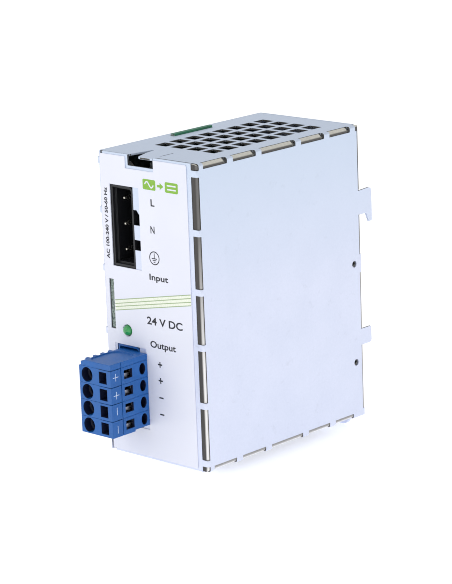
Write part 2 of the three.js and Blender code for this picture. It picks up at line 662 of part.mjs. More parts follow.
function circuitBoard() {
  const { left, right, front, back, bottom, top } = BOARD;
  const shape = outline([
    [front, bottom],
    [back, bottom],
    [back, top],
    [BOARD_TOP_TAB.to, top],
    [BOARD_TOP_TAB.to, BOARD_TOP_TAB.z],
    [BOARD_TOP_TAB.from, BOARD_TOP_TAB.z],
    [BOARD_TOP_TAB.from, top],
    [front, top],
    [front, BOARD_FRONT_TAB.to],
    [BOARD_FRONT_TAB.y, BOARD_FRONT_TAB.to],
    [BOARD_FRONT_TAB.y, BOARD_FRONT_TAB.from],
    [front, BOARD_FRONT_TAB.from],
  ]);
  const through = [left - PAST, right + PAST];
  const half = PIN / 2 + 2 * PIN_ROOM;
  const pinHoles = [...inputPins, ...outputPins].map((z) =>
    block(through, [PIN_LEG_Y - half, PIN_LEG_Y + half], [z - half, z + half]));
  const standoffHoles = STANDOFFS.map((centre) => rod('x', centre, STANDOFF.hole, through, COARSE));
  return without(prism('x', shape, [left, right]), [...pinHoles, ...standoffHoles]);
}

function insulatingSheet() {
  const { front, back, bottom, top } = BOARD;
  const { x, margin } = INSULATION;
  const sheet = block(x, [front + margin, back - margin], [bottom + margin, top - margin]);
  const through = [x[0] - PAST, x[1] + PAST];
  return without(sheet, STANDOFFS.map((centre) =>
    rod('x', centre, STANDOFF.collar + OPENING_ROOM, through, COARSE)));
}

// A nylon standoff: its shank is pressed flush into the wall, its collar carries the board, and
// its barb snaps through the board.
function standoff(centre) {
  const { shank, collar, head, barb, tip, gap } = STANDOFF;
  return turnedOnBoard([
    [0, gap],
    [shank, gap],
    [shank, SHEET + gap],
    [collar, SHEET + gap],
    [collar, BOARD.left - gap],
    [shank, BOARD.left - gap],
    [shank, BOARD.right + gap],
    [head, BOARD.right + gap],
    [tip, BOARD.right + barb],
    [0, BOARD.right + barb],
  ], centre, COARSE);
}

// A countersunk screw with a cross recess, driven from the left and flush with the wall.
function coverScrew([y, z]) {
  const { shank, head, sink, length, flush } = COVER_SCREW;
  const screw = turnedOnBoard([
    [0, flush],
    [head, flush],
    [shank, sink],
    [shank, length - shank / 3],
    [shank * 0.6, length],
    [0, length],
  ], [y, z]);
  const arm = head / 2;
  const blade = arm / 5;
  const depth = [-PAST, sink * 0.8];
  return without(screw, [
    block(depth, [y - arm, y + arm], [z - blade, z + blade]),
    block(depth, [y - blade, y + blade], [z - arm, z + arm]),
  ]);
}

// The hole that such a screw sits in, with a little room round it.
function countersink([y, z]) {
  const { shank, head, sink, room } = COVER_SCREW;
  return turnedOnBoard([
    [0, -PAST],
    [head + room, -PAST],
    [head + room, room],
    [shank + room, sink + room],
    [shank + room, SHEET + PAST],
    [0, SHEET + PAST],
  ], [y, z]);
}

// ---------------------------------------------------------------- lamp

function statusLamp() {
  const { x, z, radius, proud, back, collar, collarSpan } = LAMP;
  const steps = 4;
  const dome = Array.from({ length: steps + 1 }, (_, step) => {
    const angle = (step / steps) * (Math.PI / 2);
    return [radius * Math.sin(angle), -proud + radius * (1 - Math.cos(angle))];
  });
  return turned([
    ...dome,
    [radius, collarSpan[0]],
    [collar, collarSpan[0]],
    [collar, collarSpan[1]],
    [radius, collarSpan[1]],
    [radius, back],
    [0, back],
  ], [x, z]);
}

function lampHolder() {
  const { reach, y, bore } = LAMP_HOLDER;
  const body = block([STAND, LAMP.x + reach], y, [LAMP.z - reach, LAMP.z + reach]);
  return body.subtract(rod('y', [LAMP.x, LAMP.z], LAMP.radius + OPENING_ROOM, [0, bore]));
}

// ---------------------------------------------------------------- parts on the board

// An electrolytic can: sleeve, crimped neck and flat vented end.
function capacitor({ centre, radius, length }) {
  const { neck, crimp, waist, rim, base } = CAN;
  const end = STAND + length;
  const middle = STAND + neck;
  return turnedOnBoard([
    [0, STAND],
    [radius * base, STAND],
    [radius, STAND + crimp / 2],
    [radius, middle - crimp],
    [radius * waist, middle],
    [radius, middle + crimp],
    [radius, end - crimp],
    [radius * rim, end],
    [0, end],
  ], centre);
}

const past = ([from, to]) => [from - PAST, to + PAST];
const shrunk = ([from, to], by) => [from + by, to - by];

// A core of four limbs round its windows, seen along Z.
function transformerCore() {
  const { x, y, z, windowX, windowsY } = CORE;
  return without(block(x, y, z), windowsY.map((windowY) => block(windowX, windowY, past(z))));
}

function transformerBobbin() {
  const { x, y, z, wall, flangeY, flangeZ } = BOBBIN;
  const flange = (span) => block(span, flangeY, flangeZ);
  const ends = [flange([x[0], x[0] + wall]), flange([x[1] - wall, x[1]])];
  return joined([block(x, y, z), ...ends]).subtract(block(past(x), shrunk(y, wall), shrunk(z, wall)));
}

function transformerWinding() {
  const { x, y, z, radius, bore } = WINDING;
  const outside = prism('x', roundedRectangle(y, z, radius), x);
  return outside.subtract(block(past(x), shrunk(BOBBIN.y, -bore), shrunk(BOBBIN.z, -bore)));
}

function chokeCore() {
  const { x, y, z, windowX, windowY } = CHOKE_CORE;
  return block(x, y, z).subtract(block(windowX, windowY, past(z)));
}

function chokeCoil() {
  const { x, y, z, radius, boreY, boreZ } = CHOKE_COIL;
  return prism('x', roundedRectangle(y, z, radius), x).subtract(block(past(x), boreY, boreZ));
}

function outputChoke() {
  const { centre, radius, waist, flange, height } = OUTPUT_CHOKE;
  const end = STAND + height;
  return turnedOnBoard([
    [0, STAND],
    [radius, STAND],
    [radius, STAND + flange],
    [waist, STAND + flange],
    [waist, end - flange],
    [radius, end - flange],
    [radius, end],
    [0, end],
  ], centre);
}

// A tab-mounted power semiconductor: three leads, a moulded body and a drilled metal tab.
function powerDevice(y, z) {
  const { x, half, body, tab, tabTop, holeX, hole, pitch, lead } = DEVICE;
  const span = [z - half, z + half];
  const moulding = block(x, [y, y + body], span);
  const plate = block([x[0], tabTop], [y + body, y + body + tab], span);
  const leads = [-pitch, 0, pitch].map((offset) =>
    block(
      [STAND, x[0] + lead],
      [y + body / 2 - lead, y + body / 2 + lead],
      [z + offset - lead, z + offset + lead],
    ));
  const drilled = rod('y', [holeX, z], hole, past([y, y + body + tab]), COARSE);
  return joined([moulding, plate, ...leads]).subtract(drilled);
}

// A folded heat sink: an upright plate with a foot along the board and a flange at its top.
function heatSink(z) {
  const { y, top, fold, sheet } = HEAT_SINK;
  const profile = outline([
    [STAND, y],
    [STAND, y - fold],
    [STAND + sheet, y - fold],
    [STAND + sheet, y - sheet],
    [top, y - sheet],
    [top, y - fold],
    [top + sheet, y - fold],
    [top + sheet, y],
  ]);
  return prism('z', profile, z);
}

function dualInLine({ y, z, legs }) {
  const { lift, height, legHeight, legHalf, legOut, legIn } = DUAL_IN_LINE;
  const body = block([STAND + lift, STAND + height], y, z);
  const pitch = (y[1] - y[0]) / legs;
  const leg = (centre, span) => block([STAND, STAND + legHeight], [centre - legHalf, centre + legHalf], span);
  const pairs = row(legs, y[0] + pitch / 2, pitch).flatMap((centre) => [
    leg(centre, [z[0] - legOut, z[0] + legIn]),
    leg(centre, [z[1] - legIn, z[1] + legOut]),
  ]);
  return joined([body, ...pairs]);
}

function fuse() {
  const { y, z, axis, radius, capRadius, cap, foot, footHalf } = FUSE;
  const centre = [STAND + axis, z];
  const caps = [[y[0], y[0] + cap], [y[1] - cap, y[1]]];
  const feet = caps.map(([from, to]) => {
    const middle = (from + to) / 2;
    return block([STAND, STAND + axis], [middle - foot / 2, middle + foot / 2], [z - footHalf, z + footHalf]);
  });
  const tube = rod('y', centre, radius, shrunk(y, cap / 2), COARSE);
  return joined([tube, ...caps.map((span) => rod('y', centre, capRadius, span, COARSE)), ...feet]);
}

function thermistor() {
  const { x, y, z, radius, leadSpread, lead } = THERMISTOR;
  const middle = (y[0] + y[1]) / 2;
  const leads = [z - leadSpread, z + leadSpread].map((height) =>
    block([STAND, x - radius / 2], [middle - lead, middle + lead], [height - lead, height + lead]));
  return joined([rod('y', [x, z], radius, y), ...leads]);
}

function filmCapacitor() {
  const { x, y, z } = MAINS_CAPACITOR;
  return block(x, y, z);
}

function bridgeRectifier() {
  const { x, y, z, leads, lead, leadY } = BRIDGE;
  const legs = leads.map((height) => block([STAND, x[0] + lead], leadY, [height - lead, height + lead]));
  return joined([block(x, y, z), ...legs]);
}

// ---------------------------------------------------------------- output plug

// What the right face of every moulding of the plug carries: a groove, and a step to the back.
function plugFlank(z) {
  const out = [PLUG.right - PLUG_GROOVE.depth, PLUG.right + PAST];
  const step = [PLUG.right - PLUG_STEP.x, PLUG.right + PAST];
  return [block(out, PLUG_GROOVE.y, z), block(step, [PLUG_STEP.y, PLUG.back + PAST], z)];
}

// The front bore that takes the wire: wide at its mouth, narrower towards the clamp.
function wireEntry() {
  const { x, mouth, throat, funnel, sides } = WIRE_ENTRY;
  const { front } = PLUG;
  return turned([
    [0, front - PAST],
    [mouth, front - PAST],
    [mouth, front + funnel],
    [throat, front + funnel + GAP],
    [throat, PLUG_CHAMBER.front + PAST],
    [0, PLUG_CHAMBER.front + PAST],
  ], [x, 0], sides);
}

// One pole of the plug, centred on its pin; the next pole or the end plate closes its chamber.
// The lowest pole is stepped underneath.
function plugPole(lowest) {
  const half = PLUG.pole / 2;
  const z = [-half, half - PLUG.slit];
  const across = [-half - PAST, half + PAST];
  const body = block([PLUG.flank, PLUG.right], [PLUG.front, PLUG.back], z);
  const rib = block([PLUG.left, PLUG_RIB.right], [PLUG.front, PLUG_RIB.back], z);
  const insertZ = [-half + PLUG_INSERT.inset, half - PLUG_INSERT.inset];
  const insert = block([PLUG_INSERT.left, PLUG_INSERT.right], [PLUG.back - PAST, PLUG_INSERT.back], insertZ);
  const grooves = PLUG_RIB.grooves.map((y) =>
    block([PLUG.left - PAST, PLUG.left + PLUG_RIB.depth], [y - PLUG_RIB.half, y + PLUG_RIB.half], across));
  const testHole = new THREE.Shape();
  testHole.absellipse(TEST_HOLE.y, TEST_HOLE.z, TEST_HOLE.width / 2, TEST_HOLE.height / 2, 0, Math.PI * 2);
  const outward = [PLUG_CHAMBER.right - PAST, PLUG.right + PAST];
  const seamZ = [half - PLUG.slit - PLUG_SEAM.height, half + PAST];
  const cutters = [
    ...grooves,
    ...plugFlank(across),
    wireEntry(),
    block(
      [PLUG_CHAMBER.left, PLUG_CHAMBER.right],
      [PLUG_CHAMBER.front, PLUG_CHAMBER.back],
      [-half + PLUG_CHAMBER.floor, half + PAST],
    ),
    block(
      [TOOL_HOLE.left, TOOL_HOLE.right],
      [PLUG.front - PAST, PLUG_CHAMBER.front + PAST],
      [-TOOL_HOLE.height / 2, TOOL_HOLE.height / 2],
    ),
    block(outward, [SIDE_HOLE.front, SIDE_HOLE.back], [SIDE_HOLE.bottom, SIDE_HOLE.top]),
    prism('x', testHole, outward, 8),
    block([PLUG_SEAM.left, PLUG.right + PAST], [PLUG.front - PAST, PLUG.front + PLUG_SEAM.depth], seamZ),
    block([PLUG.right - PLUG_SEAM.depth, PLUG.right + PAST], [PLUG.front - PAST, PLUG_GROOVE.y[0]], seamZ),
    block(
      [CONTACT_BORE.left, CONTACT_BORE.right],
      [PLUG_CHAMBER.back - PAST, PLUG_INSERT.back + PAST],
      [-CONTACT_BORE.height / 2, CONTACT_BORE.height / 2],
    ),
  ];
  if (lowest) {
    const under = [-half - PAST, -half + PLUG_STEP.z];
    cutters.push(block([PLUG.left - PAST, PLUG.right + PAST], [PLUG_STEP.y, PLUG.back + PAST], under));
  }
  return without(joined([body, rib, insert]), cutters);
}

// The end plate closes the uppermost pole. Its top carries a shallow recess with round corners,
// and a lower ledge with teeth along its left side.
function plugEndPlate() {
  const bottom = PLUG.bottom + OUTPUT_POLES * PLUG.pole;
  const z = [bottom, PLUG_TOP];
  const { left, right, front, back, radius, depth } = PLUG_RECESS;
  const plate = block([PLUG.flank, PLUG.right], [PLUG.front, PLUG.back], z);
  const insertX = [PLUG_INSERT.left, PLUG_INSERT.right];
  const insert = block(insertX, [PLUG.back - PAST, PLUG_INSERT.back], PLATE_INSERT);
  const ledge = block(
    [PLUG.left, PLUG_LEDGE.right],
    [PLUG.front - PAST, PLUG.back + PAST],
    [PLUG_TOP - PLUG_LEDGE.drop, PLUG_TOP + PAST],
  );
  const teeth = PLUG_LEDGE.teeth.map((y) =>
    block([PLUG.flank, PLUG_LEDGE.right], [y, y + PLUG_LEDGE.tooth], [PLUG_TOP - PLUG_LEDGE.drop, PLUG_TOP]));
  const recessOutline = roundedRectangle([left, right], [front, back], radius);
  const recess = prism('z', recessOutline, [PLUG_TOP - depth, PLUG_TOP + PAST], 4);
  return joined([without(plate, [ledge, recess, ...plugFlank(past(z))]), insert, ...teeth]);
}

// A cage clamp: a bent spring loop, with windows that the conductor bar, the wire and a probe pass.
function plugClamp() {
  const { left, right, front, back, sheet, width, radius } = CLAMP;
  const span = [-width / 2, width / 2];
  const outside = prism('z', roundedRectangle([left, right], [front, back], radius), span);
  const across = shrunk([left, right], sheet);
  const along = shrunk([front, back], sheet);
  const inside = prism('z', roundedRectangle(across, along, radius - sheet), past(span));
  const slot = block([across[0], CLAMP_SLOT.right], past([front, back]), [-CLAMP_SLOT.half, CLAMP_SLOT.half]);
  const probe = block(
    [right - PAST, right + PAST],
    [CLAMP_WINDOW.front, CLAMP_WINDOW.back],
    [CLAMP_WINDOW.bottom, CLAMP_WINDOW.top],
  );
  return without(outside, [inside, slot, probe]);
}

// The contact: a bar through the clamp, ending in a fork that grips the header pin.
function plugContact() {
  const { sheet, height, front, tip, crossing } = CONTACT;
  const side = PIN / 2 + PIN_ROOM;
  const inner = [PIN_X - side, PIN_X + side];
  const z = [-height / 2, height / 2];
  return joined([
    block([inner[0] - sheet, inner[0]], [front, tip], z),
    block([inner[0] - sheet, inner[1] + sheet], [crossing, crossing + sheet], z),
    block([inner[1], inner[1] + sheet], [crossing, tip], z),
  ]);
}

// ---------------------------------------------------------------- rail latch

function latchSlide() {
  const { left, right, bottom, sheet, front, top } = LATCH;
  const { from, to, step } = LATCH_JOG;
  const back = front + sheet;
  const { run, edge } = LATCH_LEAD;
  const profile = outline([
    [front, bottom],
    [back, bottom],
    [back, from],
    [back + step, to],
    [back + step, top - run],
    [front + step + edge, top],
    [front + step, top],
    [front + step, to + edge],
    [front, from + edge],
  ]);
  const strip = prism('x', profile, [left, right]);
  const y = past([front, back + step]);
  const plate = prism('y', roundedRectangle([left, right], [bottom, LATCH_NOSE.from], LATCH_CORNER), y);
  const nose = block([LATCH_NOSE.left, LATCH_NOSE.right], y, [LATCH_NOSE.from - LATCH_CORNER, top + PAST]);
  const middle = (left + right) / 2;
  const { half, z, radius } = TOOL_SLOT;
  const toolSlot = prism('y', roundedRectangle([middle - half, middle + half], z, radius), y);
  const springSlot = block([SPRING_WINDOW.left, SPRING_WINDOW.right], y, [SPRING.bottom - 2, SPRING.top]);
  return without(strip.intersect(plate.add(nose)), [toolSlot, springSlot]);
}

class Helix extends THREE.Curve {
  getPoint(t, target = new THREE.Vector3()) {
    const angle = t * SPRING.turns * Math.PI * 2;
    const low = SPRING.bottom + SPRING.wire + SPRING.gap;
    const high = SPRING.top - SPRING.wire - SPRING.gap;
    return target.set(
      (SPRING_WINDOW.left + SPRING_WINDOW.right) / 2 + SPRING.radius * Math.cos(angle),
      SPRING.y + SPRING.radius * Math.sin(angle),
      low + (high - low) * t,
    );
  }
}

function latchSpring() {
  const options = {
    steps: SPRING.turns * SPRING.steps,
    extrudePath: new Helix(),
    bevelEnabled: false,
    curveSegments: 3,
  };
  return solid(new THREE.ExtrudeGeometry(circle([0, 0], SPRING.wire), options));
}

// The keeper bridges the slide and is riveted to the back of the case at both feet.
function latchKeeper() {
  const { bottom, top, clearance, inner, foot, sheet, seat } = KEEPER;
  const left = LATCH.left - clearance;
  const right = LATCH.right + clearance;
  const plan = outline([
    [left - sheet - foot, seat],
    [left, seat],
    [left, inner],
    [right, inner],
    [right, seat],
    [right + sheet + foot, seat],
    [right + sheet + foot, seat + sheet],
    [right + sheet, seat + sheet],
    [right + sheet, inner + sheet],
    [left - sheet, inner + sheet],
    [left - sheet, seat + sheet],
    [left - sheet - foot, seat + sheet],
  ]);
  const strap = prism('z', plan, [bottom, top]);
  const through = past([seat, seat + sheet]);
  return without(strap, RIVET_X.map((x) =>
    rod('y', [x, RIVET_Z], RIVET.shank + RIVET.room, through, COARSE)));
}

function rivet(x) {
  const { shank, head, rise, tail, tailRadius, gap } = RIVET;
  const seat = KEEPER.seat + KEEPER.sheet + gap;
  const inside = DEPTH - SHEET - gap;
  return turned([
    [0, tail],
    [tailRadius, tail],
    [tailRadius, inside],
    [shank, inside],
    [shank, seat],
    [head, seat],
    [head * 0.7, seat + rise],
    [0, seat + rise],
  ], [x, RIVET_Z], COARSE);
}

// ---------------------------------------------------------------- assembly

add('case_tray', caseTray(), galvanised);
add('left_cover', leftCover(), galvanised);
add('inner_frame', innerFrame(), frameSteel);
add('front_label', frontLabel(), printedFilm);
COVER_SCREWS.forEach((centre, i) => add(`cover_screw_${i + 1}`, coverScrew(centre), springSteel));

add('input_header', header(INPUT_HEADER, inputPins), blackPlastic);
INPUT_PIN_NAMES.forEach((name, i) => add(name, headerPin(), tinnedBrass, inputPins[i]));
add('output_header', header(OUTPUT_HEADER, outputPins), bluePlastic);
outputPins.forEach((z, i) => add(`output_pin_${i + 1}`, headerPin(), tinnedBrass, z));

add('circuit_board', circuitBoard(), boardLaminate);
add('insulating_sheet', insulatingSheet(), insulatingFilm);
STANDOFFS.forEach((centre, i) => add(`board_standoff_${i + 1}`, standoff(centre), whiteNylon));
add('status_lamp', statusLamp(), greenLens);
add('lamp_holder', lampHolder(), blackPlastic);

add('fuse', fuse(), glassTube);
add('inrush_thermistor', thermistor(), ceramicBody);
add('mains_capacitor', filmCapacitor(), yellowFilmCapacitor);
add('mains_choke_core', chokeCore(), ferrite);
add('mains_choke_coil', chokeCoil(), copper);
add('bridge_rectifier', bridgeRectifier(), blackPlastic);
add('bulk_capacitor', capacitor(BULK_CAPACITOR), aluminiumCan);
add('switch_transistor', powerDevice(DEVICE_Y, SWITCH_Z), blackPlastic);
add('switch_heat_sink', heatSink(HEAT_SINK.spans[0]), aluminium);
add('controller_chip', dualInLine(CHIP), blackPlastic);
add('optocoupler', dualInLine(OPTOCOUPLER), blackPlastic);
add('transformer_core', transformerCore(), ferrite);
add('transformer_bobbin', transformerBobbin(), whiteNylon);
add('transformer_winding', transformerWinding(), copper);
add('output_rectifier', powerDevice(DEVICE_Y, RECTIFIER_Z), blackPlastic);
add('rectifier_heat_sink', heatSink(HEAT_SINK.spans[1]), aluminium);
add('output_choke', outputChoke(), ferrite);
OUTPUT_CAPACITORS.forEach((size, i) => add(`output_capacitor_${i + 1}`, capacitor(size), aluminiumCan));

outputPins.forEach((z, i) => {
  add(`plug_pole_${i + 1}`, plugPole(i === 0), bluePlastic, z);
  add(`plug_clamp_${i + 1}`, plugClamp(), springSteel, z);
  add(`plug_contact_${i + 1}`, plugContact(), tinnedBrass, z);
});
add('plug_end_plate', plugEndPlate(), bluePlastic);

add('latch_slide', latchSlide(), galvanised);
add('latch_spring', latchSpring(), springSteel);
add('latch_keeper', latchKeeper(), galvanised);
RIVET_X.forEach((x, i) => add(`keeper_rivet_${i + 1}`, rivet(x), aluminium));

// The middle of the underside of the whole object becomes the origin.
supply.position.set(-WIDTH / 2, -(PLUG.front + HOOK_BACK) / 2, -LATCH.bottom);

export default supply;
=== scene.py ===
# A DIN rail power supply: the looks of each piece, the floor, the studio light and the camera.
# Lengths named in millimetres are measured from the case's front left bottom corner.

import json
import math

import bmesh
import bpy
from mathutils import Matrix, Vector


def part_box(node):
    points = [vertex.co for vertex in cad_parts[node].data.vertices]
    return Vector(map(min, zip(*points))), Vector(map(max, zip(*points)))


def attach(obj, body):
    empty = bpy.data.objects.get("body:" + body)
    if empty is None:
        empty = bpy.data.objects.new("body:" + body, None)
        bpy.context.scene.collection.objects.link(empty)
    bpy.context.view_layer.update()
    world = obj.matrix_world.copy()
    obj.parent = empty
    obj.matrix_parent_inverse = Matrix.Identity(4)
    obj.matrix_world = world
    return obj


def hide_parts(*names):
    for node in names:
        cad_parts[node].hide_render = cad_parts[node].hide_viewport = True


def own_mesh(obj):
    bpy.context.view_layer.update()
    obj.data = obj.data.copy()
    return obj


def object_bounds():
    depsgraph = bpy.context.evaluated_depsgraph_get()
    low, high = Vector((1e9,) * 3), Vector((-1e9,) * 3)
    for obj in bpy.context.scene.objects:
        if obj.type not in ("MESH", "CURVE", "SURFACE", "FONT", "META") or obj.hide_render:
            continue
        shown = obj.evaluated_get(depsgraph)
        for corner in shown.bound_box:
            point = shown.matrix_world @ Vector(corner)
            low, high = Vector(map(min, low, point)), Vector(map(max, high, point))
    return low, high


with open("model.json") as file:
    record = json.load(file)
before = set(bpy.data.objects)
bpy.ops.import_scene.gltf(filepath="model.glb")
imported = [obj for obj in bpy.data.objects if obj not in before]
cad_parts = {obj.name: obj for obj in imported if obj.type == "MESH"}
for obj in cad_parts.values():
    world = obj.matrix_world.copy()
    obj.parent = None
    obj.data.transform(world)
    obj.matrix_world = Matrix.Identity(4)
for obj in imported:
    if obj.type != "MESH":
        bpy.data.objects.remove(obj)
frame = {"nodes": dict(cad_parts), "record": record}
cad_low, cad_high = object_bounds()

scene = bpy.context.scene
MM = 0.001

# ---------------------------------------------------------------- places taken from the frame

tray_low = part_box("case_tray")[0]
CORNER = Vector((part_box("left_cover")[0].x, tray_low.y, tray_low.z))
LABEL_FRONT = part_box("front_label")[0].y


def at(x, y, z):
    """A point given in millimetres from the case's corner, in the row frame."""
    return CORNER + Vector((x, y, z)) * MM


# ---------------------------------------------------------------- materials


def linear(red, green, blue):
    """A colour given in 0 to 255, as linear light."""

    def channel(value):
        value /= 255
        return value / 12.92 if value <= 0.04045 else ((value + 0.055) / 1.055) ** 2.4

    return (channel(red), channel(green), channel(blue), 1)


class Finish:
    """A material made from nodes, in the row frame's own coordinates."""

    def __init__(self, name):
        self.material = bpy.data.materials.new(name)
        self.material.use_nodes = True
        self.tree = self.material.node_tree
        self.shader = self.tree.nodes["Principled BSDF"]
        self.place = self.tree.nodes.new("ShaderNodeTexCoord").outputs["Object"]

    def node(self, kind, inputs=(), **settings):
        made = self.tree.nodes.new("ShaderNode" + kind)
        for key, value in settings.items():
            setattr(made, key, value)
        for key, value in dict(inputs).items():
            if isinstance(value, bpy.types.NodeSocket):
                self.tree.links.new(value, made.inputs[key])
            else:
                made.inputs[key].default_value = value
        return made

    def stretched(self, scale):
        return self.node("Mapping", {"Vector": self.place, "Scale": scale}).outputs["Vector"]

    def noise(self, scale, detail=3.0, rough=0.5, where=None, shift=0.0):
        place = where or self.place
        inputs = {"Vector": place, "Scale": scale, "Detail": detail, "Roughness": rough, "W": shift}
        return self.node("TexNoise", inputs, noise_dimensions="4D").outputs["Fac"]

    def ramp(self, value, low, high, start=0.3, end=0.7):
        ends = {"From Min": start, "From Max": end, "To Min": low, "To Max": high}
        return self.node("MapRange", {"Value": value, **ends}).outputs["Result"]

    def mix(self, factor, first, second):
        made = self.node("Mix", {"Factor": factor}, data_type="RGBA")
        for socket, value in ((made.inputs[6], first), (made.inputs[7], second)):
            if isinstance(value, bpy.types.NodeSocket):
                self.tree.links.new(value, socket)
            else:
                socket.default_value = value
        return made.outputs[2]

    def math(self, operation, first, second=0.0):
        made = self.node("Math", operation=operation)
        for socket, value in zip(made.inputs, (first, second)):
            if isinstance(value, bpy.types.NodeSocket):
                self.tree.links.new(value, socket)
            else:
                socket.default_value = value
        return made.outputs[0]

    def facing(self, axis):
        """The surface normal's part along one axis, 0 for X, 1 for Y and 2 for Z."""
        normal = self.node("NewGeometry").outputs["Normal"]
        return self.node("SeparateXYZ", {"Vector": normal}).outputs[axis]

    def height(self):
        """The height of a point in the row frame, in metres."""
        return self.node("SeparateXYZ", {"Vector": self.place}).outputs[2]

    def put(self, **values):
        for key, value in values.items():
            socket = self.shader.inputs[key.replace("_", " ").title().replace("Ior", "IOR")]
            if isinstance(value, bpy.types.NodeSocket):
                self.tree.links.new(value, socket)
            else:
                socket.default_value = value
        return self

    def bump(self, height, strength, distance):
        made = self.node("Bump", {"Height": height, "Strength": strength, "Distance": distance})
        self.tree.links.new(made.outputs["Normal"], self.shader.inputs["Normal"])
        return self


def sheet_metal(name, light, dark, roughness, metallic=0.85):
    """Zinc-coated sheet: fine grain, faint rolling lines, dull smudges, and painted shade that darkens and
    cools its colour higher up.
    """
    made = Finish(name)
    clouds = made.noise(90, 3)
    grain = made.noise(1500, 3, 0.7)
    rolling = made.noise(700, 2, where=made.stretched((1, 1, 0.04)))
    smudges = made.noise(260, 3, 0.7, shift=3.0)
    tone = made.math("ADD", made.math("MULTIPLY", clouds, 0.5), made.math("MULTIPLY", grain, 0.5))
    colour = made.mix(made.ramp(tone, 0, 1, 0.35, 0.65), dark, light)
    dull = tuple(channel * 0.8 for channel in dark[:3]) + (1,)
    colour = made.mix(made.ramp(smudges, 0, 0.4, 0.6, 0.76), colour, dull)
    height = made.height()
    # Painted shade: the colour darkens towards the top of the case.
    shaded_higher_up = (dark[0] * 0.88, dark[1] * 0.96, dark[2] * 0.95, 1)
    colour = made.mix(made.ramp(height, 0, 0.7, 0.05, 0.092), colour, shaded_higher_up)
    made.put(base_color=colour, metallic=metallic)
    made.put(roughness=made.ramp(tone, roughness - 0.03, roughness + 0.04))
    relief = made.math("ADD", made.math("MULTIPLY", rolling, 0.3), made.math("MULTIPLY", grain, 0.7))
    made.bump(relief, 0.06, 0.00001)
    return made.material


def frame_steel_painted_light():
    """Bare steel pressed over a bend, with painted light: a painted highlight along the bend's crown low
    down, painted shade on front faces higher up, and a painted reflection of overhead light on faces turned
    upwards.
    """
    made = Finish("frame_steel")
    drawn = made.noise(700, 2, where=made.stretched((1, 1, 0.04)))
    grain = made.noise(1500, 3, 0.7)
    height = made.height()
    # Painted highlight: brightest where the bend's normal points at about 45 degrees, and only low down.
    middle = made.math("ABSOLUTE", made.math("SUBTRACT", made.facing(0), 0.68))
    crown_highlight_share = made.ramp(middle, 1, 0, 0.08, 0.42)
    painted_highlight = made.math("MULTIPLY", crown_highlight_share, made.ramp(height, 1, 0.12, 0.035, 0.075))
    # Painted shade on front-facing faces, with the painted highlight on the bend's crown.
    front = made.mix(painted_highlight, linear(74, 72, 70), linear(238, 236, 234))
    # Painted reflection of overhead light on faces turned upwards, varied by grain.
    painted_top_light = made.mix(made.ramp(grain, 0, 1), linear(222, 220, 210), linear(204, 201, 190))
    colour = made.mix(made.ramp(made.facing(2), 0, 1, 0.2, 0.5), front, painted_top_light)
    made.put(base_color=colour, metallic=0.5, roughness=made.ramp(drawn, 0.32, 0.42))
    made.bump(made.math("ADD", drawn, grain), 0.08, 0.00001)
    return made.material


def plastic(name, colour, roughness, grain=2500, strength=0.12, specular=0.5):
    """Moulded plastic with a fine spark-eroded grain and faint flow marks."""
    made = Finish(name)
    flow = made.noise(180, 2)
    fine = made.noise(grain, 2, 0.6)
    darker = tuple(channel * 0.86 for channel in colour[:3]) + (1,)
    made.put(base_color=made.mix(made.ramp(flow, 0, 1), darker, colour))
    made.put(roughness=made.ramp(flow, roughness - 0.06, roughness + 0.06), specular_ior_level=specular)
    made.bump(fine, strength, 0.00003)
    return made.material


def bright_metal(name, light, dark, roughness, scale=1200):
    """A small turned, drawn or stamped piece."""
    made = Finish(name)
    grain = made.noise(scale, 3, 0.6)
    made.put(base_color=made.mix(made.ramp(grain, 0, 1), dark, light), metallic=1.0)
    made.put(roughness=made.ramp(grain, roughness - 0.06, roughness + 0.08))
    made.bump(grain, 0.1, 0.00002)
    return made.material


def wound_wire(name):
    """Enamelled wire in close turns."""
    made = Finish(name)
    inputs = {"Vector": made.place, "Scale": 320.0, "Distortion": 0.4}
    shade = made.node("TexWave", inputs, bands_direction="X").outputs["Fac"]
    made.put(base_color=made.mix(shade, linear(96, 44, 18), linear(196, 112, 62)))
    made.put(metallic=0.9, roughness=0.32)
    made.bump(shade, 0.8, 0.0002)
    return made.material


def printed_film():
    """Satin polyester film over a lacquered print, with a faint orange peel."""
    made = Finish("printed_film")
    peel = made.noise(1400, 2)
    tint = made.noise(60, 2)
    made.put(base_color=made.mix(made.ramp(tint, 0, 1), linear(232, 234, 246), linear(236, 238, 249)))
    made.put(roughness=made.ramp(peel, 0.36, 0.44), specular_ior_level=0.45)
    made.bump(peel, 0.05, 0.00002)
    return made.material


def ink(name, colour):
    """Screen-printed ink: matt, and a little uneven in its cover."""
    made = Finish(name)
    cover = made.noise(2600, 3, 0.6)
    paler = tuple(min(1, channel * 1.25 + 0.01) for channel in colour[:3]) + (1,)
    made.put(base_color=made.mix(made.ramp(cover, 0, 1), colour, paler))
    made.put(roughness=made.ramp(cover, 0.4, 0.55))
    made.bump(cover, 0.06, 0.00001)
    return made.material


